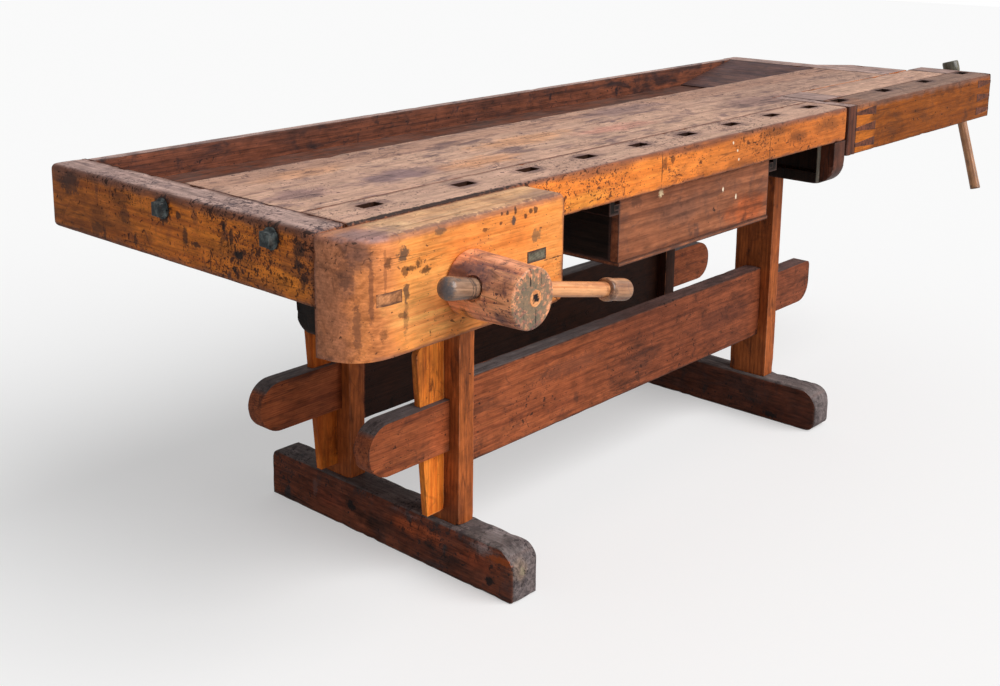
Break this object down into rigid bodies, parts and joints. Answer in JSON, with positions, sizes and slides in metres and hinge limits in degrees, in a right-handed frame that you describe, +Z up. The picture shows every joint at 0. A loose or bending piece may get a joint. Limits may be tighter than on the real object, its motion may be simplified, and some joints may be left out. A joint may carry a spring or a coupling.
{
  "type": "woodworking bench with vises",
  "caption": "Joiner's workbench on a knock-down trestle base, with a face vise, a sliding tail vise, dog slots, a tool tray and a drawer.",
  "frame": {"origin": "on the floor under the middle of the bounding box", "axes": "+X along the bench towards the tail vise, +Y from the user's side to the tool tray, +Z up"},
  "size_m": [2.5934, 0.968, 0.853],
  "materials": {
    "top_wood": "worn, waxed and stained",
    "cap_wood": "worn oil and shellac",
    "jaw_wood": "worn oil and shellac",
    "tray_wood": "stained, dusty",
    "post_wood": "worn oil",
    "base_wood": "dark oil, dusty",
    "peg_wood": "dark end grain",
    "drawer_wood": "old varnish",
    "block_wood": "dark, greasy",
    "screw_wood": "polished by hands",
    "handle_wood": "polished by hands",
    "iron": "oxidised"
  },
  "bodies": {
    "bench": {"dog_strip": "top_wood", "top_plank": "top_wood", "tray_bottom": "tray_wood", "rear_rail": "tray_wood", "tray_ramp": "tray_wood", "left_end_cap": "cap_wood", "right_end_cap": "cap_wood", "left_cap_bolts": "iron", "right_cap_bolts": "iron", "left_foot": "base_wood", "right_foot": "base_wood", "left_front_post": "post_wood", "left_rear_post": "post_wood", "right_front_post": "post_wood", "right_rear_post": "post_wood", "left_bearer": "post_wood", "right_bearer": "post_wood", "top_dowels": "peg_wood", "foot_pegs": "peg_wood", "front_stretcher": "base_wood", "rear_stretcher": "base_wood", "front_wedge": "post_wood", "rear_wedge": "post_wood", "face_nut_block": "block_wood", "tail_guide_rail": "block_wood", "slab_end_block": "block_wood", "drawer_left_runner": "drawer_wood", "drawer_right_runner": "drawer_wood"},
    "face_jaw": {"face_jaw": "jaw_wood", "left_guide_bar": "block_wood", "right_guide_bar": "block_wood", "face_garter": "block_wood"},
    "face_screw": {"face_screw": "screw_wood"},
    "face_handle": {"face_handle_bar": "handle_wood", "face_handle_inner_knob": "handle_wood", "face_handle_outer_knob": "handle_wood"},
    "tail_vise": {"tail_front_block": "top_wood", "tail_jaw_block": "jaw_wood", "tail_jaw_liner": "jaw_wood", "tail_end_board": "jaw_wood", "tail_garter": "block_wood", "tail_top_plate": "top_wood", "tail_runner": "block_wood"},
    "tail_screw": {"tail_screw": "screw_wood"},
    "tail_handle": {"tail_handle_bar": "handle_wood", "tail_handle_knob": "handle_wood"},
    "drawer": {"drawer_front": "drawer_wood", "drawer_left_side": "drawer_wood", "drawer_right_side": "drawer_wood", "drawer_back": "drawer_wood", "drawer_bottom": "drawer_wood", "drawer_left_cleat": "drawer_wood", "drawer_right_cleat": "drawer_wood"}
  },
  "joints": [
    {"name": "face_jaw_slide", "type": "slide", "parent": "bench", "child": "face_jaw", "axis": [0, -1, 0], "range_m": [0, 0.2]},
    {"name": "face_screw_turn", "type": "hinge", "parent": "face_jaw", "child": "face_screw", "pos_m": [-1.03825, -0.364, 0.72], "axis": [0, -1, 0], "range_deg": [0, 5761]},
    {"name": "face_handle_slide", "type": "slide", "parent": "face_screw", "child": "face_handle", "axis": [0.9765, 0, -0.2156], "range_m": [-0.236, 0]},
    {"name": "tail_vise_slide", "type": "slide", "parent": "bench", "child": "tail_vise", "axis": [1, 0, 0], "range_m": [-0.003, 0.2]},
    {"name": "tail_screw_turn", "type": "hinge", "parent": "tail_vise", "child": "tail_screw", "pos_m": [1.23825, -0.146, 0.765], "axis": [1, 0, 0], "range_deg": [-87, 5761]},
    {"name": "tail_handle_slide", "type": "slide", "parent": "tail_screw", "child": "tail_handle", "axis": [0, 0.2823, 0.9593], "range_m": [0, 0.14]},
    {"name": "drawer_slide", "type": "slide", "parent": "bench", "child": "drawer", "axis": [0, -1, 0], "range_m": [0, 0.3]}
  ],
  "couplings": [
    {"joint": "face_screw_turn", "follows": "face_jaw_slide", "rad_per_m": 502.65},
    {"joint": "tail_screw_turn", "follows": "tail_vise_slide", "rad_per_m": 502.65}
  ]
}
